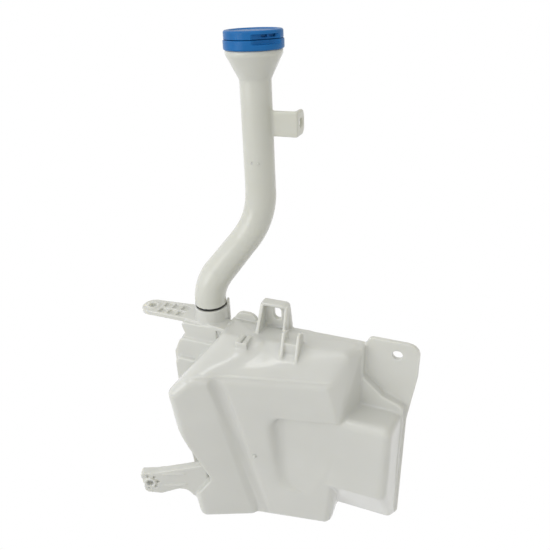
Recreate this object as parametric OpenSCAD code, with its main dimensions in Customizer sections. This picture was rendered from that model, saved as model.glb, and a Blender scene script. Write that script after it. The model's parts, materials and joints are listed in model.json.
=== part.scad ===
// Washer fluid reservoir: a blow-moulded tank, an S-bent filler pipe seated on it with a seal ring, and a flip cap.
// Frame: the origin is on the flat base, in the tank's parting plane. X runs right along that plane,
// Y runs to the back and Z up.

/* [Tank] */
// Height of the top ledge above the base
tank_h = 197.5; // [192:0.5:215]
// Reach of the tank to the right of the origin, in the parting plane
tank_right = 121; // [116:1:135]
// Reach of the tank to the left of the origin, in the parting plane
tank_left = 100; // [96:1:110]
// Depth of the tank behind the parting plane
rear_depth = 26; // [22:1:40]
// Wall thickness of the tank
wall = 2.5; // [1.5:0.1:3.5]
// Radius of the tank's outer edges
edge_r = 8; // [6:0.5:9]

/* [Front forms] */
// Angle by which the left front face turns towards the right
face_turn = 22.5; // [18:0.5:26]
// Depth of the left front corner in front of the parting plane
corner_depth = 80; // [74:1:86]
// Distance of the left front corner to the left of the origin
corner_reach = 64.5; // [60:0.5:70]
// Width of the left front face at its top
face_w = 41; // [38:1:46]
// Width of the left front face at the base
face_base_w = 71; // [66:1:75]
// Depth of the top ledge in front of the parting plane, at its left end
ledge_depth = 36; // [32:1:40]
// Height of the sloped band below the top ledge
band_h = 22; // [18:1:28]
// Depth of the middle face at the left, where the left face steps back to it
step_depth = 60; // [56:1:63]
// Depth of the middle face at its right end
middle_depth = 41; // [39:1:45]
// Height of the low right block's top
box_top = 138; // [130:0.5:145]
// Height below which the low right block's front slopes back
box_low = 62; // [50:1:75]
// Depth of the low right block in front of the parting plane
box_depth = 38; // [34:0.5:40]
// Distance of the set-back panel's left edge to the right of the origin
panel_left = 15; // [5:1:25]

/* [Filler pipe] */
// Distance of the spigot's axis to the left of the origin
neck_reach = 60; // [57:1:64]
// Height of the spigot's rim above the top ledge
spigot_rise = 7.5; // [5:0.5:10]
// Outside diameter of the spigot
spigot_d = 30.5; // [29.5:0.5:34]
// Bore of the spigot
spigot_bore = 24; // [23.6:0.1:25]
// Outside diameter of the pipe's foot in the spigot
foot_d = 23.2; // [22.6:0.1:23.4]
// Outside diameter of the filler pipe above its upper bend
pipe_d = 26; // [24:0.5:27]
// Outside diameter of the filler pipe below its funnel
pipe_top_d = 25; // [23:0.5:26]
// Outside diameter of the filler pipe at its lower bend
pipe_low_d = 28; // [26:0.5:28.5]
// Wall thickness of the filler pipe
pipe_wall = 2; // [1.6:0.1:2.5]
// Sideways offset between the two ends of the S-bend
bend_offset = 50.7; // [46:0.1:60]
// Direction of the S-bend, from X towards the back
bend_turn = 32; // [0:1:60]
// Slope of the S-bend's straight run, from upright
bend_angle = 41; // [38:1:48]
// Centreline radius of the upper bend
upper_bend_r = 65; // [50:1:70]
// Centreline radius of the lower bend
lower_bend_r = 40; // [33:1:46]
// Length of the upright run between the upper bend and the funnel
upright_l = 89.5; // [70:0.5:120]
// Height of the funnel
funnel_h = 21.5; // [16:0.5:26]
// Thickness of the seal ring
seal_t = 2.2; // [1.5:0.1:3]

/* [Cap] */
// Outside diameter of the cap
cap_d = 46; // [44:0.5:52]
// Height of the cap's ring
ring_h = 7; // [6.5:0.1:9]
// Height of the cap's lid
lid_h = 6.1; // [5.8:0.1:9]
// Outside diameter of the pipe's mouth inside the ring
finish_d = 34; // [32:0.5:36]
// Width of the finger recess
recess_w = 24; // [20:0.5:26]
// Direction of the finger recess, from the front towards the right
recess_turn = 50; // [0:1:90]

/* [Mountings] */
// Bolt hole of the right tab
tab_hole_d = 8.4; // [6:0.1:10]
// Height of the middle bracket above the top ledge
bracket_h = 23; // [21:0.5:30]
// Width of the middle bracket's slot
slot_w = 7; // [5:0.1:8]
// Height of the middle bracket's slot
slot_h = 12; // [9.5:0.1:14]
// Distance from the spigot's axis to the upper arm's bolt hole
arm_l = 63; // [58:1:75]
// Bolt hole of the upper arm
arm_hole_d = 7; // [5:0.1:8.5]
// Distance from the left front corner to the lower arm's bolt hole
foot_arm_l = 31; // [28:1:42]
// Bolt hole of the lower arm
foot_hole_d = 6.5; // [5:0.1:8]
// Bolt hole of the pipe's side tab
pipe_tab_hole_d = 7; // [5:0.1:9]
// Hole for the pump's grommet in the rear wall
pump_hole_d = 21; // [18:0.5:24]

/* [Hidden] */
$fn = 64;
milky = [0.80, 0.81, 0.77];
cap_blue = [0.13, 0.36, 0.66];
rubber_black = [0.06, 0.06, 0.06];

// Heights on the tank
band_low = tank_h - band_h;
corner_h = band_low - 12;
shoulder_h = tank_h - 25;
arm_top = tank_h - 5;
arm_t = 4.5;
waist_z = 54.5;
waist_x = 12;
face_lean = 5.5;
box_foot = 2;
box_foot_y = 1;
rear_drop = 6;
lap = 0.6;
past = 40;
cut_l = 100;
ball_fn = 24;
base_z = edge_r * cos(180 / ball_fn);
panel_low = 48;
panel_turn = 4;
panel_pivot = 60;
groove_top = [-24, -69, band_low - 4];
groove_foot = [10, -51, -6];
groove_r = 9;

// Places along the tank
ledge_left = 22 - neck_reach;
middle_left = -40;
middle_right = 84;
sump_right = 66;
sump_depth = box_depth - 3;
ledge_r_depth = ledge_depth - 9;
neck_left = -neck_reach - 26;
neck_w = 38;
neck_back = 8;
neck_depth = 16.5;
swell_depth = 24;
terrace_depth = 10;
terrace_z = tank_h - 31;
shoulder_depth = 19.5;
flange_t = 4;
flange_w = 2;
flange_bend_z = box_top - 14;
flange_bend_r = 30;
tab_reach = 8;
bracket_x = 5;
slot_x = bracket_x + 1.5;
slot_z = tank_h + 12;
clip_x = 21;
clip_gap = 13;
clip_t = 2.8;
pad_x = -12;
pad_w = 10;
pad_l = 13;
pad_h = 1.5;
slit_w = 1;
slit_depth = 2;
tongue_turn = 20;
tongue_w = 6;
tongue_t = 2.2;
tongue_lap = 0.4;
tongue_rise = 5;
arm_hole_y = -2;
foot_arm_y = 10;
foot_arm_t = 8;
foot_hole_z = waist_z - 6.5;
pump_x = 25;
pump_z = 27;

// The filler pipe's heights and place
foot_l = 18;
foot_wall = 1.6;
spigot_top = tank_h + spigot_rise;
collar_bottom = spigot_top + seal_t;
collar_h = 3.5;
collar_d = spigot_d - 1.5;
lower_bend_z = collar_bottom + collar_h;
bend_run = (bend_offset - (upper_bend_r + lower_bend_r) * (1 - cos(bend_angle))) / sin(bend_angle);
upper_bend_z = lower_bend_z + (upper_bend_r + lower_bend_r) * sin(bend_angle) + bend_run * cos(bend_angle);
funnel_z = upper_bend_z + upright_l;
funnel_d = cap_d - 2;
pipe_x = bend_offset * cos(bend_turn) - neck_reach;
pipe_y = bend_offset * sin(bend_turn);
bend_lap = 0.15;
run_in = 2;
pipe_tab_z = funnel_z - 33;
pipe_tab_l = 34;
pipe_tab_h = 20;
pipe_tab_w = 16;
pipe_tab_t = 3;

// The cap's sizes
fit_gap = 0.15;
lid_gap = 0.3;
ring_z = funnel_z + funnel_h;
ring_top_t = 2;
finish_h = ring_h - ring_top_t - fit_gap;
mouth_r = finish_d / 2 - pipe_wall - 0.5;
lid_d = cap_d - 1.2;
lid_z = ring_z + ring_h + lid_gap;
plug_gap = 0.4;
plug_l = 4;
recess_depth = 4.2;
recess_flank = 4.5;
recess_bevel = 1.2;
recess_floor = 4;
recess_wall = 1.4;
hinge_r = cap_d / 2 + 1;
hinge_w = 14;

// Unit vector along v, and the vector to the left of v in the plane
function unit(v) = v / norm(v);
function left_of(v) = [-v.y, v.x];

// Arc of radius r that rounds the corner p between a and b, moved to its left by inset
function corner_arc(a, p, b, r, inset, steps = 6) =
    let (
        u = unit(p - a),
        v = unit(b - p),
        turn = atan2(u.x * v.y - u.y * v.x, u * v),
        side = turn < 0 ? -1 : 1,
        n = left_of(u),
        centre = p + side * r * (n + left_of(v)) / (1 + u * v)
    )
    [for (i = [0 : steps])
        let (angle = turn * i / steps)
        centre + (inset - side * r) * [n.x * cos(angle) - n.y * sin(angle), n.x * sin(angle) + n.y * cos(angle)]];

// Closed outline through corners given as [x, y, radius] anticlockwise, shrunk by inset
function rounded(corners, inset = 0) =
    let (count = len(corners), at = function(i) [corners[i % count].x, corners[i % count].y])
    [for (i = [0 : count - 1])
        each corner_arc(at(i + count - 1), at(i), at(i + 1), corners[i].z, inset)];

// Upright plate between two depths, from an outline in X and Z
module upright_plate(outline, front, back) {
    translate([0, back, 0])
        rotate([90, 0, 0])
            linear_extrude(back - front)
                polygon(outline);
}

// Point on the tank from one in the left face's frame, which starts at the left front corner
function on_face(x, y, z) =
    [-corner_reach + x * cos(face_turn) - y * sin(face_turn),
     -corner_depth + x * sin(face_turn) + y * cos(face_turn),
     z];

module at_left_face() {
    translate([-corner_reach, -corner_depth, 0])
        rotate([0, 0, face_turn])
            children();
}

// Rounded block, the hull of equal balls
module ball_block(centres, r) {
    hull()
        for (centre = centres)
            translate(centre)
                sphere(r, $fn = ball_fn);
}

// Ball centres of the three blocks that make the tank, an edge radius inside its outer faces
left_block = [
    on_face(waist_x + edge_r, face_lean + edge_r, edge_r + lap),
    on_face(face_base_w - edge_r, face_lean + edge_r, edge_r + lap),
    on_face(edge_r, edge_r, corner_h - edge_r),
    on_face(face_w / 2, edge_r, band_low - edge_r),
    on_face(face_w - edge_r, edge_r, band_low - edge_r),
    [ledge_left + edge_r, edge_r - ledge_depth, tank_h - edge_r],
    [0, edge_r - ledge_depth, tank_h - edge_r],
    [ledge_left + edge_r, -edge_r, tank_h - edge_r],
    [edge_r - tank_left + 8, -edge_r, waist_z],
    [edge_r - tank_left + 14, -edge_r, edge_r + lap],
    [edge_r - tank_left + 14, rear_depth - edge_r - lap, waist_z],
    [edge_r - tank_left + 20, rear_depth - edge_r - lap, edge_r + lap],
    [0, rear_depth - edge_r - lap, edge_r + lap],
];

middle_block = [
    [middle_left, edge_r - step_depth - 5, band_low - edge_r],
    [middle_right - 16 - edge_r, edge_r - middle_depth, band_low - edge_r],
    [middle_right - 8 - edge_r, edge_r - middle_depth, box_top],
    [ledge_left + 2 * edge_r, edge_r - ledge_depth + lap, tank_h - edge_r - lap],
    [middle_right - 6 - edge_r, edge_r - ledge_r_depth, tank_h - edge_r - lap],
    [middle_left, edge_r - step_depth + 8, base_z],
    [sump_right - edge_r, edge_r - sump_depth, base_z],
    [middle_right - edge_r, -edge_r - lap, tank_h - edge_r - lap],
    [middle_right - edge_r, -edge_r - lap, box_top],
    [sump_right - edge_r, rear_depth - edge_r, base_z],
    [middle_right - 2 * edge_r, rear_depth - edge_r, box_top],
    [2 * edge_r - tank_left, rear_depth - edge_r, box_top],
    [middle_left, rear_depth - edge_r, base_z],
    [ledge_left + 2 * edge_r, -edge_r - lap, tank_h - edge_r - lap],
];

// The low right block, whose front slopes back below box_low to its foot at the parting plane
box_block = [
    for (z = [box_low, box_top - edge_r]) each [
        [panel_left + edge_r, edge_r - box_depth, z],
        [tank_right - 4 - edge_r, edge_r - box_depth, z],
    ],
    for (z = [box_foot + edge_r, box_top - edge_r]) each [
        [panel_left + edge_r, -box_foot_y, z],
        [tank_right - edge_r, -box_foot_y, z],
    ],
    for (z = [box_foot + edge_r, box_top - edge_r - rear_drop]) each [
        [tank_right - 2 * edge_r, rear_depth - 2 * edge_r, z],
        [panel_left + edge_r, rear_depth - 2 * edge_r, z],
    ],
];

// Outline of the body at the parting plane, with the terrace beside the right tab
body_outline = [
    [20 - tank_left, 4, 8],
    [sump_right - 4, 4, 8],
    [sump_right - 4, waist_z, 4],
    [tank_right, waist_z, 8],
    [tank_right, box_top + 5, 8],
    [tank_right - 18, box_top + 12, 6],
    [middle_right + 1, terrace_z, 6],
    [middle_right + 1, tank_h - 2, 4],
    [ledge_left, tank_h - 2, 4],
    [ledge_left - 12, shoulder_h, 4],
    [12 - tank_left, shoulder_h, 6],
    [-tank_left, shoulder_h - 22, 10],
    [-tank_left, 60, 20],
];

// Outline of the block that carries the spigot
neck_outline = [
    [neck_left + 6, shoulder_h - 40, 4],
    [neck_left + neck_w, shoulder_h - 40, 4],
    [neck_left + neck_w, arm_top - arm_t / 2, 4],
    [neck_left, arm_top - arm_t / 2, 4],
    [neck_left + 5, shoulder_h + 3, 4],
];

// Outlines of the left shoulder's two tiers, the upper one first
shoulder_outline = [
    [8 - tank_left, 50, 6],
    [ledge_left + 1, 50, 6],
    [ledge_left + 1, shoulder_h + 2, 4],
    [14 - tank_left, shoulder_h + 2, 8],
    [8 - tank_left, shoulder_h - 12, 6],
];

swell_outline = [
    [8.5 - tank_left, 40, 6],
    [ledge_left - 1, 40, 6],
    [ledge_left - 1, shoulder_h - 17.5, 6],
    [8.5 - tank_left, shoulder_h - 17.5, 8],
];

// The flat-fronted bodies, each as its outline, its front and its back
flat_bodies = [
    [body_outline, -terrace_depth, flange_t / 2],
    [neck_outline, -neck_depth, neck_back],
    [shoulder_outline, -shoulder_depth, neck_depth - 4],
    [swell_outline, -swell_depth, neck_depth - 3],
];

// Outline of the set-back panel on the right of the front, which runs out past the body's edges
panel_outline = [
    [panel_left + 6, panel_low, 16],
    [tank_right + past, panel_low - past, 2],
    [tank_right + past, box_top, 2],
    [panel_left, box_top - 4, 12],
];

// Outline of the waist in the left edge, where the lower arm starts, in the left face's frame
waist_outline = [
    [-20, waist_z + 74, 2],
    [-20, waist_z - 26, 2],
    [waist_x - 4, waist_z - 26, 2],
    [waist_x + 16, waist_z, 6],
    [-0.5, waist_z + 74, 2],
];

// The groove between the left face and the middle face, a round channel that ends below the band
module groove(grow) {
    run = groove_foot - groove_top;
    translate(groove_top)
        rotate([0, acos(run.z / norm(run)), atan2(run.y, run.x)]) {
            cylinder(r = groove_r + grow, h = norm(run));
            sphere(groove_r + grow);
        }
}

// The tank's main body, shrunk by inset to give its inside
module tank_body(inset) {
    difference() {
        union() {
            ball_block(left_block, edge_r - inset);
            ball_block(middle_block, edge_r - inset);
        }
        at_left_face()
            upright_plate(rounded(waist_outline, -inset), -20, 40 + inset);
        translate([panel_pivot, -box_depth - lap, 0])
            rotate([0, 0, panel_turn])
                translate([-panel_pivot, 0, 0])
                    upright_plate(rounded(panel_outline, -inset), -2 * corner_depth, inset);
        groove(inset);
    }
    ball_block(box_block, edge_r - inset);
    for (flat = flat_bodies)
        upright_plate(rounded(flat[0], inset), flat[1] + inset, flat[2] - inset);
}

// The parting flange on the right, with the bolt tab above it
module right_tab() {
    upright_plate(
        rounded([
            [middle_right - 14, tank_h - 20, 2],
            [middle_right - 9, tank_h, 3],
            [middle_right - 1.5, tank_h - 5, 2],
            [middle_right + 4, tank_h + 4.5, 5],
            [tank_right + tab_reach, tank_h + 4, 10],
            [tank_right + tab_reach, tank_h - 26, 16],
            [tank_right + flange_w, flange_bend_z, flange_bend_r],
            [tank_right + flange_w, box_foot + 3, 6],
            [tank_right - 12, box_foot + 3, 3],
            [tank_right - 12, flange_bend_z, 2],
        ]),
        -flange_t / 2, flange_t / 2);
}

// The round tab between the spigot and the bracket
module hump_tab() {
    upright_plate(
        rounded([
            [ledge_left - 9, tank_h - 16, 1],
            [ledge_left + 6.5, tank_h + 5.5, 9],
            [ledge_left + 23, tank_h + 5.5, 9],
            [ledge_left + 28, tank_h - 16, 1],
        ]),
        -flange_t / 2, flange_t / 2);
}

// The slotted bracket on the ledge, a plate between two gussets
module bracket() {
    upright_plate(
        rounded([
            [bracket_x - 19, tank_h - 10, 1],
            [bracket_x - 12, tank_h + bracket_h, 2],
            [bracket_x + 12, tank_h + bracket_h, 4],
            [bracket_x + 15, tank_h - 10, 1],
        ]),
        -flange_t / 2 - 1, flange_t / 2);
    translate([bracket_x - 11, -7, tank_h + bracket_h - 3])
        cube([20, 7, 3]);
    for (gusset = [[bracket_x - 12.5, 21], [bracket_x + 9.5, 14]])
        translate([gusset[0], 0, tank_h])
            rotate([90, 0, 90])
                linear_extrude(3)
                    polygon([[0, -9], [-gusset[1], -9], [-gusset[1], 0], [-6, bracket_h - 1], [0, bracket_h - 1]]);
}

module bracket_slot() {
    for (side = [-1, 1])
        translate([slot_x, 20, slot_z + side * (slot_h - slot_w) / 2])
            rotate([90, 0, 0])
                cylinder(d = slot_w, h = 40);
    translate([slot_x - slot_w / 2, -20, slot_z - (slot_h - slot_w) / 2])
        cube([slot_w, 40, slot_h - slot_w]);
}

// The hose clip on the ledge's front edge, two blades with a seat between them
module hose_clip() {
    for (x = [clip_x, clip_x + clip_gap])
        translate([x, -ledge_r_depth, tank_h])
            rotate([90, 0, 90])
                linear_extrude(clip_t)
                    polygon([[8, -9], [6, 10], [1, 13], [-3, 12], [-10, -6], [-11, -12], [-2, -16]]);
    translate([clip_x, -ledge_r_depth - 5, tank_h - 8])
        cube([clip_gap + clip_t, 8, 12]);
}

// The low pad on the ledge's front edge, with a slit along it
module slit_pad() {
    difference() {
        translate([pad_x - pad_w / 2, -ledge_depth - 4, tank_h - 6])
            cube([pad_w, pad_l, 6 + pad_h]);
        translate([pad_x - slit_w / 2, -ledge_depth - 3, tank_h + pad_h - slit_depth])
            cube([slit_w, pad_l - 2, slit_depth + 1]);
    }
}

// The locating tongue that stands up beside the spigot's rim
module spigot_tongue() {
    translate([-neck_reach, 0, arm_top - arm_t])
        rotate([0, 0, tongue_turn])
            translate([spigot_d / 2 - tongue_lap, -tongue_w / 2, 0])
                cube([tongue_t, tongue_w, spigot_top + tongue_rise - arm_top + arm_t]);
}

// The ribbed arm at the left of the spigot
module upper_arm() {
    difference() {
        translate([0, 0, arm_top - arm_t])
            linear_extrude(arm_t)
                polygon(rounded([
                    [-neck_reach - arm_l - 10.5, -12.5, 10],
                    [-neck_reach - 20, -12.5, 20],
                    [ledge_left + 14, -20, 2],
                    [ledge_left + 14, -4, 2],
                    [-neck_reach + 16, 0, 4],
                    [-neck_reach - 10, 14, 10],
                    [-neck_reach - arm_l - 10.5, 8.5, 10],
                ]));
        for (i = [0 : 2], j = [0, 1])
            translate([-neck_reach - arm_l + 10 + 9.5 * i, -10 + 10 * j, arm_top - 2.2])
                cube([7.5, 7.5, 3]);
    }
    translate([-neck_reach - arm_l, arm_hole_y, arm_top - arm_t])
        cylinder(d = arm_hole_d + 6, h = arm_t + 1);
}

// The arm at the lower left, with a bolt pad at its end
module lower_arm() {
    at_left_face()
        translate([0, foot_arm_y + foot_arm_t, 0])
            rotate([90, 0, 0]) {
                linear_extrude(foot_arm_t)
                    polygon(rounded([
                        [-foot_arm_l - 8.5, waist_z + 5, 3],
                        [-foot_arm_l + 8, waist_z + 5, 20],
                        [waist_x + 12, waist_z + 13, 2],
                        [waist_x + 12, waist_z - 30, 2],
                        [waist_x - 3, waist_z - 28, 2],
                        [waist_x - 12, waist_z - 15, 10],
                        [-foot_arm_l + 9, waist_z - 22, 6],
                        [-foot_arm_l - 6, waist_z - 19, 5],
                    ]));
                translate([-foot_arm_l, foot_hole_z, 0])
                    cylinder(d = foot_hole_d + 5, h = foot_arm_t + 1.5);
                for (z = [waist_z - 12, waist_z + 2])
                    translate([-foot_arm_l + 13, z, 0])
                        cube([foot_arm_l - 10, 2, foot_arm_t + 1]);
            }
}

module lower_arm_holes() {
    at_left_face()
        translate([-foot_arm_l, foot_arm_y, foot_hole_z])
            rotate([90, 0, 0]) {
                translate([0, 0, -cut_l / 2])
                    cylinder(d = foot_hole_d, h = cut_l);
                for (k = [0 : 6])
                    rotate([0, 0, k * 360 / 7])
                        translate([foot_hole_d / 2 + 4, 0, -2])
                            cylinder(d = 2.8, h = 10);
            }
}

module tank() {
    color(milky)
        difference() {
            union() {
                tank_body(0);
                right_tab();
                hump_tab();
                bracket();
                hose_clip();
                slit_pad();
                spigot_tongue();
                upper_arm();
                lower_arm();
                translate([-neck_reach, 0, shoulder_h - 20])
                    cylinder(d = spigot_d, h = spigot_top - shoulder_h + 20);
                translate([pump_x, rear_depth - edge_r, pump_z])
                    rotate([-90, 0, 0])
                        cylinder(d = pump_hole_d + 8, h = edge_r + 2);
            }
            tank_body(wall);
            translate([-neck_reach, 0, shoulder_h - 20])
                cylinder(d = spigot_bore, h = cut_l);
            translate([tank_right - 9.8, cut_l / 2, tank_h - 8])
                rotate([90, 0, 0])
                    cylinder(d = tab_hole_d, h = cut_l);
            bracket_slot();
            translate([-neck_reach - arm_l, arm_hole_y, arm_top - cut_l / 2])
                cylinder(d = arm_hole_d, h = cut_l);
            lower_arm_holes();
            translate([pump_x, rear_depth - 2 * edge_r, pump_z])
                rotate([-90, 0, 0])
                    cylinder(d = pump_hole_d, h = cut_l);
        }
}

// Bend of the pipe in the X-Z plane, swept round the origin from a start angle
module bend(d, r, start) {
    rotate([90, 0, 0])
        rotate([0, 0, start])
            rotate_extrude(angle = bend_angle)
                translate([r, 0])
                    difference() {
                        circle(d = d + 2 * bend_lap);
                        circle(d = d - 2 * pipe_wall - 2 * bend_lap);
                    }
}

// The foot that plugs into the spigot, with the collar above the seal
module pipe_foot() {
    foot_r = foot_d / 2;
    r = pipe_low_d / 2;
    translate([-neck_reach, 0, 0])
        rotate_extrude()
            polygon([
                [foot_r - foot_wall, spigot_top - foot_l], [foot_r, spigot_top - foot_l],
                [foot_r, collar_bottom], [collar_d / 2, collar_bottom],
                [collar_d / 2, lower_bend_z - 1.5], [r, lower_bend_z - 1], [r, lower_bend_z + run_in],
                [r - pipe_wall, lower_bend_z + run_in], [r - pipe_wall, lower_bend_z - 2],
                [foot_r - foot_wall, collar_bottom],
            ]);
}

// The two bends with the tapered run between them
module pipe_bends() {
    low_r = pipe_low_d / 2;
    r = pipe_d / 2;
    translate([-neck_reach, 0, lower_bend_z])
        rotate([0, 0, bend_turn]) {
            translate([lower_bend_r, 0, 0])
                bend(pipe_low_d, lower_bend_r, 180 - bend_angle);
            translate([lower_bend_r * (1 - cos(bend_angle)), 0, lower_bend_r * sin(bend_angle)])
                rotate([0, bend_angle, 0])
                    rotate_extrude()
                        polygon([
                            [low_r - pipe_wall, -run_in], [low_r, -run_in],
                            [r, bend_run + run_in], [r - pipe_wall, bend_run + run_in],
                        ]);
            translate([bend_offset - upper_bend_r, 0, upper_bend_z - lower_bend_z])
                bend(pipe_d, upper_bend_r, -bend_angle);
        }
}

// The upright run, which widens to the funnel and ends in the mouth that the cap's ring sits on
module pipe_funnel() {
    r = pipe_d / 2;
    neck_r = pipe_top_d / 2;
    top_r = funnel_d / 2;
    mouth = finish_d / 2;
    rise = funnel_z - upper_bend_z;
    translate([pipe_x, pipe_y, upper_bend_z])
        rotate_extrude()
            polygon([
                [neck_r - pipe_wall, -run_in], [r, -run_in], [neck_r, rise],
                [top_r - 1.5, rise + funnel_h - 6], [top_r, rise + funnel_h - 3.5], [top_r, rise + funnel_h],
                [mouth, rise + funnel_h], [mouth, rise + funnel_h + finish_h],
                [mouth - pipe_wall, rise + funnel_h + finish_h], [mouth - pipe_wall, rise + funnel_h - pipe_wall],
                [top_r - pipe_wall, rise + funnel_h - pipe_wall], [top_r - pipe_wall, rise + funnel_h - 3.5],
                [top_r - 1.5 - pipe_wall, rise + funnel_h - 6], [neck_r - pipe_wall, rise],
            ]);
}

// The bolt tab on the pipe's right side, a strip in its parting plane with its end folded back
module pipe_tab() {
    root = pipe_top_d / 2 - pipe_wall / 2;
    translate([pipe_x, pipe_y, pipe_tab_z])
        difference() {
            union() {
                translate([root, -pipe_tab_t / 2, -pipe_tab_h / 2])
                    cube([pipe_tab_l - root, pipe_tab_t, pipe_tab_h]);
                translate([pipe_tab_l - pipe_tab_t, 0, 0])
                    rotate([90, 0, 90])
                        linear_extrude(pipe_tab_t)
                            polygon(rounded([
                                [-pipe_tab_t / 2, -pipe_tab_h / 2, 0.5],
                                [pipe_tab_w, -pipe_tab_h / 2, 6],
                                [pipe_tab_w, pipe_tab_h / 2, 6],
                                [-pipe_tab_t / 2, pipe_tab_h / 2, 0.5],
                            ]));
            }
            translate([pipe_tab_l - 2 * pipe_tab_t, pipe_tab_w / 2, 0])
                rotate([0, 90, 0])
                    cylinder(d = pipe_tab_hole_d, h = 3 * pipe_tab_t);
        }
}

module filler_pipe() {
    color(milky) {
        pipe_foot();
        pipe_bends();
        pipe_funnel();
        pipe_tab();
    }
}

module pipe_seal() {
    color(rubber_black)
        translate([-neck_reach, 0, spigot_top + seal_t / 2])
            rotate_extrude()
                translate([foot_d / 2 + seal_t / 2 + 0.05, 0])
                    circle(d = seal_t, $fn = 24);
}

// The cap's frame: upright through the pipe's mouth, with -Y towards the finger recess
module at_cap(z) {
    translate([pipe_x, pipe_y, z])
        rotate([0, 0, recess_turn])
            children();
}

// Cutter for the finger recess, with flanks that slope in to its back wall
module finger_recess(h) {
    side = recess_w / 2 + 1;
    back = recess_w / 2 - recess_flank;
    linear_extrude(h)
        polygon([
            [-side, -1], [side, -1], [side, recess_depth - recess_bevel],
            [back, recess_depth], [-back, recess_depth], [-side, recess_depth - recess_bevel],
        ]);
}

module cap_ring() {
    r = cap_d / 2;
    color(cap_blue)
        at_cap(ring_z)
            difference() {
                union() {
                    rotate_extrude()
                        polygon([
                            [finish_d / 2 + fit_gap, 0], [r - 0.6, 0], [r, 0.6], [r, ring_h - 0.5], [r - 0.5, ring_h],
                            [mouth_r, ring_h], [mouth_r, ring_h - ring_top_t],
                            [finish_d / 2 + fit_gap, ring_h - ring_top_t],
                        ]);
                    translate([-hinge_w / 2, r - 3, ring_h - 2.6])
                        cube([hinge_w, hinge_r - r + 3, 2.6]);
                }
                translate([0, -r, recess_floor])
                    finger_recess(ring_h);
            }
}

module cap_lid() {
    r = lid_d / 2;
    plug_r = mouth_r - plug_gap;
    top_t = 1.8;
    rim_h = 0.8;
    skirt_t = 1.8;
    under = lid_h - rim_h - top_t;
    window_x = [-0.2, 6.4];
    window_w = 4.6;
    window_h = 2;
    color(cap_blue)
        at_cap(lid_z)
            difference() {
                union() {
                    rotate_extrude()
                        polygon([
                            [0, lid_h - rim_h], [r - 4.2, lid_h - rim_h], [r - 3.6, lid_h], [r - 1, lid_h], [r, lid_h - 1],
                            [r, 0], [r - skirt_t, 0], [r - skirt_t, under], [plug_r, under], [plug_r, -plug_l],
                            [plug_r - 1.6, -plug_l], [plug_r - 1.6, under], [0, under],
                        ]);
                    translate([-hinge_w / 2, r - 1.5, 0])
                        cube([hinge_w, hinge_r - r + 1.5, 2.2]);
                    intersection() {
                        cylinder(r = r - skirt_t / 2, h = under + top_t / 2);
                        translate([-r, recess_depth - r - lap, 0])
                            cube([2 * r, recess_wall + lap, lid_h]);
                    }
                }
                translate([0, -r, -1])
                    finger_recess(under + 1);
                for (x = window_x)
                    translate([x - window_w / 2, recess_depth - r - 1, under - window_h])
                        cube([window_w, recess_wall + 2, window_h]);
            }
}

tank();
filler_pipe();
pipe_seal();
cap_ring();
cap_lid();
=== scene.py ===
# Washer fluid reservoir: finish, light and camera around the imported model
import json
import math

import bmesh
import bpy
import numpy as np
from mathutils import Matrix, Vector


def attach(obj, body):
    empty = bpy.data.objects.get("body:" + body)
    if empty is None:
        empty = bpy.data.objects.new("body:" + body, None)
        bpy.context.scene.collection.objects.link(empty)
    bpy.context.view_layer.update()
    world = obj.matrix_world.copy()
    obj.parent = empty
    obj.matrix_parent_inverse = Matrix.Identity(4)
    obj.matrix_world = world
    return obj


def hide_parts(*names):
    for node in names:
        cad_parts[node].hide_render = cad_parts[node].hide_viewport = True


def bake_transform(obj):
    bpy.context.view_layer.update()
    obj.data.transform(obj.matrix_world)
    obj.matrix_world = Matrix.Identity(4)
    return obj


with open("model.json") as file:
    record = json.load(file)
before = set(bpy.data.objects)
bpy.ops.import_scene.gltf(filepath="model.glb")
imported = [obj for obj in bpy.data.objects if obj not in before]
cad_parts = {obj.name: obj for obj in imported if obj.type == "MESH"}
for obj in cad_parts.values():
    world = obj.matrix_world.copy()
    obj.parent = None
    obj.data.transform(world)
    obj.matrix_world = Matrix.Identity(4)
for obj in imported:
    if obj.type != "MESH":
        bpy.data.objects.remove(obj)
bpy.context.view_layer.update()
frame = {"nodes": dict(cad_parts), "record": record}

MM = 0.001
nodes = frame["nodes"]
scene = bpy.context.scene
scene.view_settings.view_transform = "Standard"


# Camera of the photograph, as a pinhole with its focal length in pixels
IMAGE_SIZE = 550
FOCAL_PIXELS = 545
SENSOR_MM = 36
CAMERA_PLACE = Vector((163.0, -373.5, 457.5)) * MM
CAMERA_AZIMUTH = math.radians(23)
CAMERA_PITCH = math.radians(27.6)
CAMERA_ROLL = math.radians(2.2)


def camera_axes():
    """Right, down and forward in the picture, as unit vectors."""
    level = Vector((-math.sin(CAMERA_AZIMUTH), math.cos(CAMERA_AZIMUTH), 0))
    side = Vector((math.cos(CAMERA_AZIMUTH), math.sin(CAMERA_AZIMUTH), 0))
    up = Vector((0, 0, 1))
    forward = math.cos(CAMERA_PITCH) * level - math.sin(CAMERA_PITCH) * up
    below = -math.sin(CAMERA_PITCH) * level - math.cos(CAMERA_PITCH) * up
    right = math.cos(CAMERA_ROLL) * side + math.sin(CAMERA_ROLL) * below
    down = math.cos(CAMERA_ROLL) * below - math.sin(CAMERA_ROLL) * side
    return right, down, forward


def make_camera():
    right, down, forward = camera_axes()
    data = bpy.data.cameras.new("photo_camera")
    data.sensor_width = SENSOR_MM
    data.lens = FOCAL_PIXELS / IMAGE_SIZE * SENSOR_MM
    data.clip_start = 0.01
    data.clip_end = 100
    camera = bpy.data.objects.new("photo_camera", data)
    turn = Matrix((right, -down, -forward)).transposed()
    camera.matrix_world = Matrix.Translation(CAMERA_PLACE) @ turn.to_4x4()
    scene.collection.objects.link(camera)
    scene.camera = camera


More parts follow.
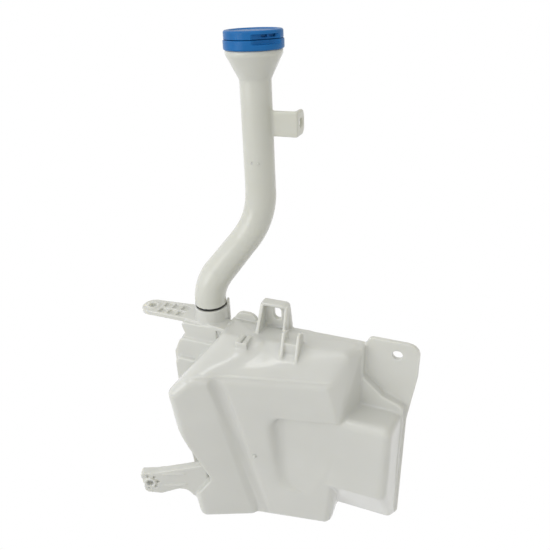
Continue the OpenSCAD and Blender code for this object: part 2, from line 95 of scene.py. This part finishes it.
# Material helpers
def new_material(name):
    material = bpy.data.materials.new(name)
    material.use_nodes = True
    tree = material.node_tree
    return material, tree, tree.nodes["Principled BSDF"]


def noise(tree, scale, detail=3.0, roughness=0.5):
    """Noise in the part's own metres, so that its grain has a real size."""
    place = tree.nodes.new("ShaderNodeTexCoord")
    node = tree.nodes.new("ShaderNodeTexNoise")
    node.inputs["Scale"].default_value = scale
    node.inputs["Detail"].default_value = detail
    node.inputs["Roughness"].default_value = roughness
    tree.links.new(place.outputs["Object"], node.inputs["Vector"])
    return node.outputs["Fac"]


def ramp(tree, value, stops):
    """Colour ramp between two stops, each a (position, colour) pair."""
    node = tree.nodes.new("ShaderNodeValToRGB")
    marks = node.color_ramp.elements
    for mark, (position, colour) in zip(marks, stops):
        mark.position = position
        mark.color = (*colour, 1)
    tree.links.new(value, node.inputs["Fac"])
    return node.outputs["Color"]


def span(tree, value, low, high, least=0.0, most=1.0):
    """Maps a value of least to most onto low to high."""
    node = tree.nodes.new("ShaderNodeMapRange")
    node.inputs["From Min"].default_value = least
    node.inputs["From Max"].default_value = most
    node.inputs["To Min"].default_value = low
    node.inputs["To Max"].default_value = high
    tree.links.new(value, node.inputs["Value"])
    return node.outputs["Result"]


def bump(tree, heights, distance):
    """Chain of bumps from (height, strength) pairs, each in the same real depth."""
    normal = None
    for height, strength in heights:
        node = tree.nodes.new("ShaderNodeBump")
        node.inputs["Strength"].default_value = strength
        node.inputs["Distance"].default_value = distance
        tree.links.new(height, node.inputs["Height"])
        if normal is not None:
            tree.links.new(normal, node.inputs["Normal"])
        normal = node.outputs["Normal"]
    return normal


def milky_plastic(name, thin, thick, scatter):
    """Natural polyethylene: milky, satin, a little translucent, with the uneven tone of a blown wall."""
    material, tree, shader = new_material(name)
    tone = noise(tree, scale=14, detail=2)
    grain = noise(tree, scale=900, detail=2)
    waves = noise(tree, scale=60, detail=1)
    tree.links.new(ramp(tree, tone, [(0.3, thin), (0.7, thick)]), shader.inputs["Base Color"])
    tree.links.new(span(tree, waves, 0.26, 0.38), shader.inputs["Roughness"])
    tree.links.new(bump(tree, [(waves, 0.06), (grain, 0.05)], 0.5 * MM), shader.inputs["Normal"])
    shader.inputs["Subsurface Weight"].default_value = scatter
    shader.inputs["Subsurface Radius"].default_value = (1.0, 0.95, 0.75)
    shader.inputs["Subsurface Scale"].default_value = 5 * MM
    shader.inputs["IOR"].default_value = 1.5
    shader.inputs["Coat Weight"].default_value = 0.5
    shader.inputs["Coat Roughness"].default_value = 0.12
    return material


def blue_plastic(name):
    """Injection-moulded cap: satin blue with faint flow marks."""
    material, tree, shader = new_material(name)
    flow = noise(tree, scale=90, detail=3)
    grain = noise(tree, scale=1500, detail=2)
    tones = [(0.3, (0.008, 0.13, 0.38)), (0.7, (0.012, 0.155, 0.45))]
    tree.links.new(ramp(tree, flow, tones), shader.inputs["Base Color"])
    tree.links.new(span(tree, flow, 0.28, 0.40), shader.inputs["Roughness"])
    tree.links.new(bump(tree, [(grain, 0.08)], 0.2 * MM), shader.inputs["Normal"])
    shader.inputs["Specular IOR Level"].default_value = 0.15
    shader.inputs["Coat Weight"].default_value = 0.1
    shader.inputs["Coat Roughness"].default_value = 0.12
    return material


def black_rubber(name):
    material, tree, shader = new_material(name)
    dust = noise(tree, scale=700, detail=3)
    tones = [(0.35, (0.006, 0.006, 0.006)), (0.75, (0.016, 0.016, 0.015))]
    tree.links.new(ramp(tree, dust, tones), shader.inputs["Base Color"])
    tree.links.new(span(tree, dust, 0.5, 0.75), shader.inputs["Roughness"])
    return material


# Moulded skins: a node's mesh on an even grid, with its sharp inner corners eased
def even_grid(node, voxel):
    """Closed mesh of a node on an even grid of the given voxel size."""
    source = bpy.data.objects.new("grid_source", nodes[node].data.copy())
    scene.collection.objects.link(source)
    remesh = source.modifiers.new("grid", "REMESH")
    remesh.mode = "VOXEL"
    remesh.voxel_size = voxel
    shape = source.evaluated_get(bpy.context.evaluated_depsgraph_get())
    mesh = bpy.data.meshes.new_from_object(shape)
    bpy.data.objects.remove(source)
    return mesh


def points_of(mesh):
    flat = np.empty(len(mesh.vertices) * 3)
    mesh.vertices.foreach_get("co", flat)
    return flat.reshape(-1, 3)


def ease(mesh, points, passes, share):
    """Moves each point towards the mean of its neighbours, by its own share, several times."""
    ends = np.empty(len(mesh.edges) * 2, np.int32)
    mesh.edges.foreach_get("vertices", ends)
    ends = ends.reshape(-1, 2)
    share = np.where(share > LEAST_SHARE, share, 0)
    near, ends = np.unique(ends[(share[ends] > 0).any(axis=1)], return_inverse=True)
    first, second = ends.reshape(-1, 2).T
    count = len(near)
    moved = points[near]
    weight = share[near][:, None]
    neighbours = np.bincount(first, minlength=count) + np.bincount(second, minlength=count)
    for _ in range(passes):
        total = np.empty_like(moved)
        for axis in range(3):
            total[:, axis] = np.bincount(first, moved[second, axis], count)
            total[:, axis] += np.bincount(second, moved[first, axis], count)
        moved += weight * (total / neighbours[:, None] - moved)
    points[near] = moved
    return points


def window(values, low, high, soft):
    """One between low and high, falling to nothing over the soft distance outside them."""
    outside = np.maximum(np.maximum(low - values, values - high), 0)
    return np.clip(1 - outside / soft, 0, 1)


def thinned(mesh, most_triangles):
    """The mesh with its triangles collapsed to at most the given count."""
    triangles = sum(len(face.vertices) - 2 for face in mesh.polygons)
    source = bpy.data.objects.new("thin_source", mesh)
    scene.collection.objects.link(source)
    decimate = source.modifiers.new("thin", "DECIMATE")
    decimate.ratio = min(1.0, most_triangles / triangles)
    shape = source.evaluated_get(bpy.context.evaluated_depsgraph_get())
    result = bpy.data.meshes.new_from_object(shape)
    bpy.data.objects.remove(source)
    return result


def add_piece(name, mesh, body, node, material):
    """Shows a mesh in place of a node."""
    mesh.materials.clear()
    mesh.materials.append(material)
    mesh.polygons.foreach_set("use_smooth", np.ones(len(mesh.polygons), bool))
    piece = bpy.data.objects.new(name, mesh)
    scene.collection.objects.link(piece)
    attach(piece, body)
    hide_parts(node)


FULL_SHARE = 0.5
THIN_SHARE = 0.06
LEAST_SHARE = 0.002
BODY_PASSES = 14
PANEL_PASSES = 300
BAND_PASSES = 250
PIPE_PASSES = 6
CAP_PASSES = 3
MOST_TRIANGLES = 190000
TANK_VOXEL = 0.65 * MM
PIPE_VOXEL = 0.8 * MM
CAP_VOXEL = 0.35 * MM

# Zones of the tank as lowest and highest corners in millimetres
OPEN = math.inf
CLIP_ROOT = ((21, -44, 187), (37, OPEN, OPEN))
PAD_ROOT = ((-19, -OPEN, 193), (-5, -26, OPEN))
SLIT_ZONE = ((-OPEN, -39.3, 196.4), (OPEN, -27.8, OPEN))


def inside(points, zone):
    """Which points lie in a zone."""
    low, high = np.array(zone)
    place = points / MM
    return ((place > low) & (place < high)).all(axis=1)


def body_share(points):
    """Full easing on the blown body, little on the thin tabs and arms."""
    ledge_z = 198.5 * MM
    left_x = -99 * MM
    tab_x = 87 * MM
    tab_z = 152 * MM
    face_arm_y = -70 * MM
    face_arm_x = -66 * MM
    spigot_x = -38 * MM
    spigot_z = 187 * MM
    x, y, z = points.T
    thin = (z > ledge_z) | (x < left_x)
    thin |= (x > tab_x) & (z > tab_z)
    thin |= (x < face_arm_x) & (y < face_arm_y)
    thin |= (x < spigot_x) & (z > spigot_z)
    return np.where(thin | front_fittings(points), THIN_SHARE, FULL_SHARE)


def front_fittings(points):
    """The hose clip and the slit pad, whose roots stand on the band."""
    return inside(points, CLIP_ROOT) | inside(points, PAD_ROOT)


def band_share(points):
    """Extra easing on the sloped band below the ledge, where the blown blocks run into each other."""
    x, y, z = points.T / MM
    share = window(x, low=-52, high=84, soft=8)
    share *= window(z, low=176, high=191, soft=5)
    share *= window(y, low=-90, high=-27, soft=4)
    return FULL_SHARE * share * ~front_fittings(points)


def raise_line(mesh, points):
    """Lifts the fine moulded line that runs level along the band's lower edge."""
    height = 0.45 * MM
    half_width = 1.3
    line_z = 174.7
    front_y = -30
    front_facing = -0.2
    flat = np.empty(len(points) * 3)
    mesh.vertices.foreach_set("co", points.ravel())
    mesh.update()
    mesh.vertices.foreach_get("normal", flat)
    normals = flat.reshape(-1, 3)
    x, y, z = points.T / MM
    across = np.clip(1 - ((z - line_z) / half_width) ** 2, 0, 1)
    along = window(x, low=-44, high=60, soft=10)
    along *= (y < front_y) & (normals[:, 1] < front_facing)
    return points + (height * across * along)[:, None] * normals


def panel_share(points):
    """Extra easing along the set-back panel's left edge, which is shallow on the blown wall."""
    edge_x = 18 * MM
    reach = 9 * MM
    lowest = 44 * MM
    highest = 142 * MM
    front_y = -30 * MM
    x, y, z = points.T
    near = np.exp(-(((x - edge_x) / reach) ** 2))
    return FULL_SHARE * near * ((z > lowest) & (z < highest) & (y < front_y))


def cut_slit(points):
    """Deepens the slit along the pad on the ledge's front edge."""
    depth = 3.2 * MM
    half_width = 0.85
    slit_x = -12
    x = points[:, 0] / MM
    across = np.clip(1 - ((x - slit_x) / half_width) ** 2, 0, 1)
    points[:, 2] -= depth * across * inside(points, SLIT_ZONE)
    return points


def make_tank(material):
    mesh = even_grid("tank", TANK_VOXEL)
    points = points_of(mesh)
    points = ease(mesh, points, BODY_PASSES, body_share(points))
    points = ease(mesh, points, PANEL_PASSES, panel_share(points))
    points = ease(mesh, points, BAND_PASSES, band_share(points))
    points = raise_line(mesh, points)
    points = cut_slit(points)
    mesh.vertices.foreach_set("co", points.ravel())
    skin = thinned(mesh, MOST_TRIANGLES)
    add_piece("tank_skin", skin, "reservoir", "tank", material)


def make_pipe(material):
    mesh = even_grid("filler_pipe", PIPE_VOXEL)
    points = points_of(mesh)
    points = ease(mesh, points, PIPE_PASSES, np.full(len(points), FULL_SHARE))
    mesh.vertices.foreach_set("co", points.ravel())
    skin = thinned(mesh, MOST_TRIANGLES)
    add_piece("pipe_skin", skin, "reservoir", "filler_pipe", material)


def make_cap_piece(node, body, material):
    mesh = even_grid(node, CAP_VOXEL)
    points = points_of(mesh)
    points = ease(mesh, points, CAP_PASSES, np.full(len(points), FULL_SHARE))
    mesh.vertices.foreach_set("co", points.ravel())
    skin = thinned(mesh, MOST_TRIANGLES // 2)
    add_piece(node + "_skin", skin, body, node, material)


# Floor and light
def make_floor():
    half = 6.0
    mesh = bpy.data.meshes.new("floor")
    corners = [(-half, -half, 0), (half, -half, 0), (half, half, 0), (-half, half, 0)]
    mesh.from_pydata(corners, [], [(0, 1, 2, 3)])
    floor = bpy.data.objects.new("floor", mesh)
    floor.location.z = -0.1 * MM
    scene.collection.objects.link(floor)

    material, tree, shader = new_material("floor_paper")
    shader.inputs["Base Color"].default_value = (0.66, 0.66, 0.66, 1)
    shader.inputs["Roughness"].default_value = 0.9
    path = tree.nodes.new("ShaderNodeLightPath")
    seen = tree.nodes.new("ShaderNodeMath")
    seen.operation = "MAXIMUM"
    tree.links.new(path.outputs["Is Camera Ray"], seen.inputs[0])
    tree.links.new(path.outputs["Is Glossy Ray"], seen.inputs[1])
    white = tree.nodes.new("ShaderNodeEmission")
    mix = tree.nodes.new("ShaderNodeMixShader")
    tree.links.new(seen.outputs["Value"], mix.inputs["Fac"])
    tree.links.new(shader.outputs["BSDF"], mix.inputs[1])
    tree.links.new(white.outputs["Emission"], mix.inputs[2])
    tree.links.new(mix.outputs["Shader"], tree.nodes["Material Output"].inputs["Surface"])
    mesh.materials.append(material)


BRIGHT_SIDE = (-0.72, -0.50, 0.48)
DIM_SKY = (0.40, 0.385, 0.33)
SKY_STRENGTH = 1.16
BRIGHT_SKY = (1.0, 1.0, 1.0)


def make_world():
    """White to the camera, and to the object a soft sky that is brighter and cooler at the front left."""
    world = bpy.data.worlds.new("studio")
    scene.world = world
    world.use_nodes = True
    tree = world.node_tree
    tree.nodes.clear()
    path = tree.nodes.new("ShaderNodeLightPath")
    place = tree.nodes.new("ShaderNodeTexCoord")
    facing = tree.nodes.new("ShaderNodeVectorMath")
    facing.operation = "DOT_PRODUCT"
    facing.inputs[1].default_value = BRIGHT_SIDE
    tree.links.new(place.outputs["Generated"], facing.inputs[0])
    side = span(tree, facing.outputs["Value"], 0, 1, least=-1)
    sky = tree.nodes.new("ShaderNodeBackground")
    tree.links.new(ramp(tree, side, [(0.0, DIM_SKY), (1.0, BRIGHT_SKY)]), sky.inputs["Color"])
    sky.inputs["Strength"].default_value = SKY_STRENGTH
    white = tree.nodes.new("ShaderNodeBackground")
    white.inputs["Color"].default_value = (1, 1, 1, 1)
    mix = tree.nodes.new("ShaderNodeMixShader")
    output = tree.nodes.new("ShaderNodeOutputWorld")
    tree.links.new(path.outputs["Is Camera Ray"], mix.inputs["Fac"])
    tree.links.new(sky.outputs["Background"], mix.inputs[1])
    tree.links.new(white.outputs["Background"], mix.inputs[2])
    tree.links.new(mix.outputs["Shader"], output.inputs["Surface"])


def make_lamp(name, place, target, size, power, colour):
    data = bpy.data.lights.new(name, "AREA")
    data.size = size
    data.energy = power
    data.color = colour
    lamp = bpy.data.objects.new(name, data)
    lamp.location = place
    aim = Vector(target) - Vector(place)
    lamp.rotation_mode = "QUATERNION"
    lamp.rotation_quaternion = aim.to_track_quat("-Z", "Y")
    scene.collection.objects.link(lamp)
    return lamp


# Small moulded details
def add_detail(name, mesh, material):
    """Adds a small piece with its finish, without attaching it to a body; the callers attach all but the
    hinge strap.
    """
    mesh.materials.append(material)
    mesh.polygons.foreach_set("use_smooth", np.ones(len(mesh.polygons), bool))
    detail = bpy.data.objects.new(name, mesh)
    scene.collection.objects.link(detail)
    return detail


def make_pip(name, place, radius, material):
    """A round moulded mark, half sunk in the wall."""
    shape = bmesh.new()
    bmesh.ops.create_uvsphere(shape, u_segments=20, v_segments=12, radius=radius * MM)
    bmesh.ops.translate(shape, verts=shape.verts, vec=Vector(place) * MM)
    mesh = bpy.data.meshes.new(name)
    shape.to_mesh(mesh)
    shape.free()
    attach(add_detail(name, mesh, material), "reservoir")


def rounded_block(name, size, place, radius, segments):
    """Mesh of a block with rounded edges, set at the given place and turn."""
    shape = bmesh.new()
    bmesh.ops.create_cube(shape, size=1)
    bmesh.ops.scale(shape, verts=shape.verts, vec=size)
    edges = shape.edges[:]
    bmesh.ops.bevel(shape, geom=edges, offset=radius, segments=segments, profile=0.5, affect="EDGES")
    bmesh.ops.transform(shape, matrix=place, verts=shape.verts)
    bmesh.ops.recalc_face_normals(shape, faces=shape.faces[:])
    mesh = bpy.data.meshes.new(name)
    shape.to_mesh(mesh)
    shape.free()
    return mesh


def make_web(material):
    """The rounded web that joins the neck's side to the body behind the ridge."""
    low = Vector((-52, -15.2, 173)) * MM
    high = Vector((-35, 3, 191)) * MM
    mesh = rounded_block("neck_web", high - low, Matrix.Translation((low + high) / 2), 3 * MM, 5)
    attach(add_detail("neck_web", mesh, material), "reservoir")


HINGE_ALONG = Vector((-0.642788, -0.766044, 0))
HINGE_OUT = Vector((-0.766044, 0.642788, 0))
CAP_CENTRE = Vector((-17.0, 26.87, 0)) * MM


def make_rib(material):
    """The straight rib under the lid, behind the windows of the finger recess."""
    size = Vector((18, 1.0, 4.0)) * MM
    from_centre = 16.1 * MM
    middle_z = 429.3 * MM
    centre = CAP_CENTRE - from_centre * HINGE_OUT + Vector((0, 0, middle_z))
    turn = Matrix((HINGE_ALONG, HINGE_OUT, Vector((0, 0, 1)))).transposed()
    mesh = rounded_block("lid_rib", size, Matrix.Translation(centre) @ turn.to_4x4(), 0.3 * MM, 3)
    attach(add_detail("lid_rib", mesh, material), "lid")


def make_strap(material):
    """The thin web of the living hinge, between the ring's lug and the lid's lug."""
    pivot = Vector(frame["record"]["behaviour"]["joints"][0]["pos_m"])
    half_width = 6 * MM
    half_height = 1.6 * MM
    thickness = 0.4 * MM
    set_in = 0.4
    rows = 16
    points = []
    faces = []
    for row in range(rows + 1):
        level = pivot + Vector((0, 0, half_height * (2 * row / rows - 1)))
        for across, depth in ((-1, 0), (1, 0), (1, 1), (-1, 1)):
            sideways = across * half_width * HINGE_ALONG
            outwards = (depth - set_in) * thickness * HINGE_OUT
            points.append(level + sideways + outwards)
    for row in range(rows):
        for corner in range(4):
            start = 4 * row
            after = (corner + 1) % 4
            faces.append((start + corner, start + after, start + 4 + after, start + 4 + corner))
    faces.append((3, 2, 1, 0))
    faces.append(tuple(4 * rows + corner for corner in range(4)))
    mesh = bpy.data.meshes.new("hinge_strap")
    mesh.from_pydata(points, [], faces)
    strap = add_detail("hinge_strap", mesh, material)
    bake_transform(strap)


# The scene, with marks given as places in millimetres
SCATTER = 0.4
PIPE_PIPS = ((-18.6, 14.4, 335.6), (-12.8, 15.0, 335.1))
PIP_RADIUS = 1.1
GATE_PLACE = (-0.5, -51.9, 86.1)
GATE_RADIUS = 1.9
LAMP_AIM = (0, 0, 0.2)
LAMP_WHITE = (1.0, 1.0, 1.0)

make_camera()
tank_plastic = milky_plastic("tank_plastic", (0.61, 0.615, 0.58), (0.65, 0.655, 0.62), SCATTER)
pipe_plastic = milky_plastic("pipe_plastic", (0.60, 0.605, 0.545), (0.64, 0.645, 0.59), SCATTER)
cap_plastic = blue_plastic("cap_plastic")
seal_rubber = black_rubber("seal_rubber")

make_tank(tank_plastic)
make_pipe(pipe_plastic)
make_cap_piece("cap_ring", "reservoir", cap_plastic)
make_cap_piece("cap_lid", "lid", cap_plastic)
seal = nodes["pipe_seal"]
seal.data.materials.clear()
seal.data.materials.append(seal_rubber)
seal.data.polygons.foreach_set("use_smooth", np.ones(len(seal.data.polygons), bool))
make_strap(cap_plastic)
make_rib(cap_plastic)
for number, place in enumerate(PIPE_PIPS):
    make_pip(f"pipe_pip_{number}", place, PIP_RADIUS, pipe_plastic)
make_web(tank_plastic)
make_pip("gate_mark", GATE_PLACE, GATE_RADIUS, tank_plastic)

make_floor()
make_world()
make_lamp("key", (-1.0, -1.4, 0.55), LAMP_AIM, size=0.9, power=5.0, colour=LAMP_WHITE)
glint = make_lamp("glint", (-0.35, -1.1, 1.7), LAMP_AIM, size=0.4, power=2.5, colour=LAMP_WHITE)
glint.visible_diffuse = False
